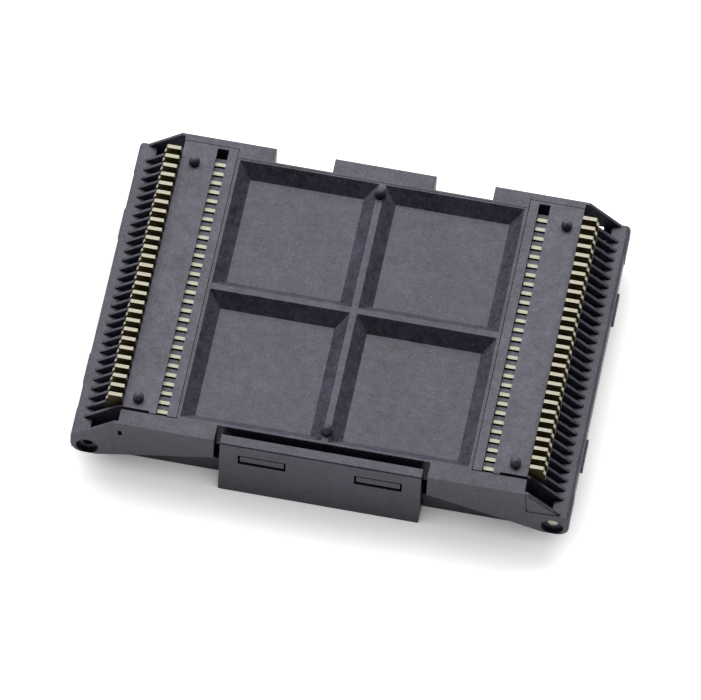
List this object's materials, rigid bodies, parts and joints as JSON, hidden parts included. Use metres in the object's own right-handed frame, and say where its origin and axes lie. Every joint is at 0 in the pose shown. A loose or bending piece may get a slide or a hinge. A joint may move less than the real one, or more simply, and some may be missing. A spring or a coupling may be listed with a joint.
{
  "type": "zif socket",
  "caption": "Surface-mount test socket for a thin two-row package, with a hinged lid, two clamp bars on steel rods, a snap latch tab and stamped spring contacts.",
  "frame": {"origin": "centre of the bounding box's bottom face, on the lid's outer face", "axes": "+Z out of the solder side, towards the circuit board; +X along the package's long direction; +Y from the latch towards the lid hinge. The socket lies upside down on its lid."},
  "size_m": [0.0224, 0.0158, 0.0043],
  "materials": {
    "base_plastic": "matt moulded, dark charcoal",
    "carrier_plastic": "matt moulded, dark charcoal",
    "lid_plastic": "matt moulded, dark charcoal",
    "plated_contact": "plated spring alloy, satin",
    "rod_steel": "satin"
  },
  "bodies": {
    "lid": {"lid": "lid_plastic", "front_latch": "lid_plastic"},
    "base": {"base_frame": "base_plastic", "left_contact_carrier": "carrier_plastic", "right_contact_carrier": "carrier_plastic", "left_contacts_1": "plated_contact", "left_contacts_2": "plated_contact", "left_contacts_3": "plated_contact", "left_contacts_4": "plated_contact", "left_contacts_5": "plated_contact", "left_contacts_6": "plated_contact", "left_contacts_7": "plated_contact", "right_contacts_1": "plated_contact", "right_contacts_2": "plated_contact", "right_contacts_3": "plated_contact", "right_contacts_4": "plated_contact", "right_contacts_5": "plated_contact", "right_contacts_6": "plated_contact", "right_contacts_7": "plated_contact", "left_clamp_rod": "rod_steel", "right_clamp_rod": "rod_steel", "left_hinge_pin": "rod_steel", "right_hinge_pin": "rod_steel"},
    "left_clamp": {"left_clamp_bar": "lid_plastic"},
    "right_clamp": {"right_clamp_bar": "lid_plastic"}
  },
  "joints": [
    {"name": "lid_hinge", "type": "hinge", "parent": "lid", "child": "base", "pos_m": [0, 0.00748, 0.0015], "axis": [-1, 0, 0], "range_deg": [0, 140], "deforming": ["front_latch"]},
    {"name": "right_clamp_hinge", "type": "hinge", "parent": "base", "child": "right_clamp", "pos_m": [0.01042, 0, 0.00153], "axis": [0, -1, 0], "range_deg": [0, 110]},
    {"name": "left_clamp_hinge", "type": "hinge", "parent": "base", "child": "left_clamp", "pos_m": [-0.01042, 0, 0.00153], "axis": [0, 1, 0], "range_deg": [0, 110]}
  ],
  "couplings": [
    {"joint": "right_clamp_hinge", "follows": "lid_hinge", "ratio": 0.7857},
    {"joint": "left_clamp_hinge", "follows": "lid_hinge", "ratio": 0.7857}
  ]
}
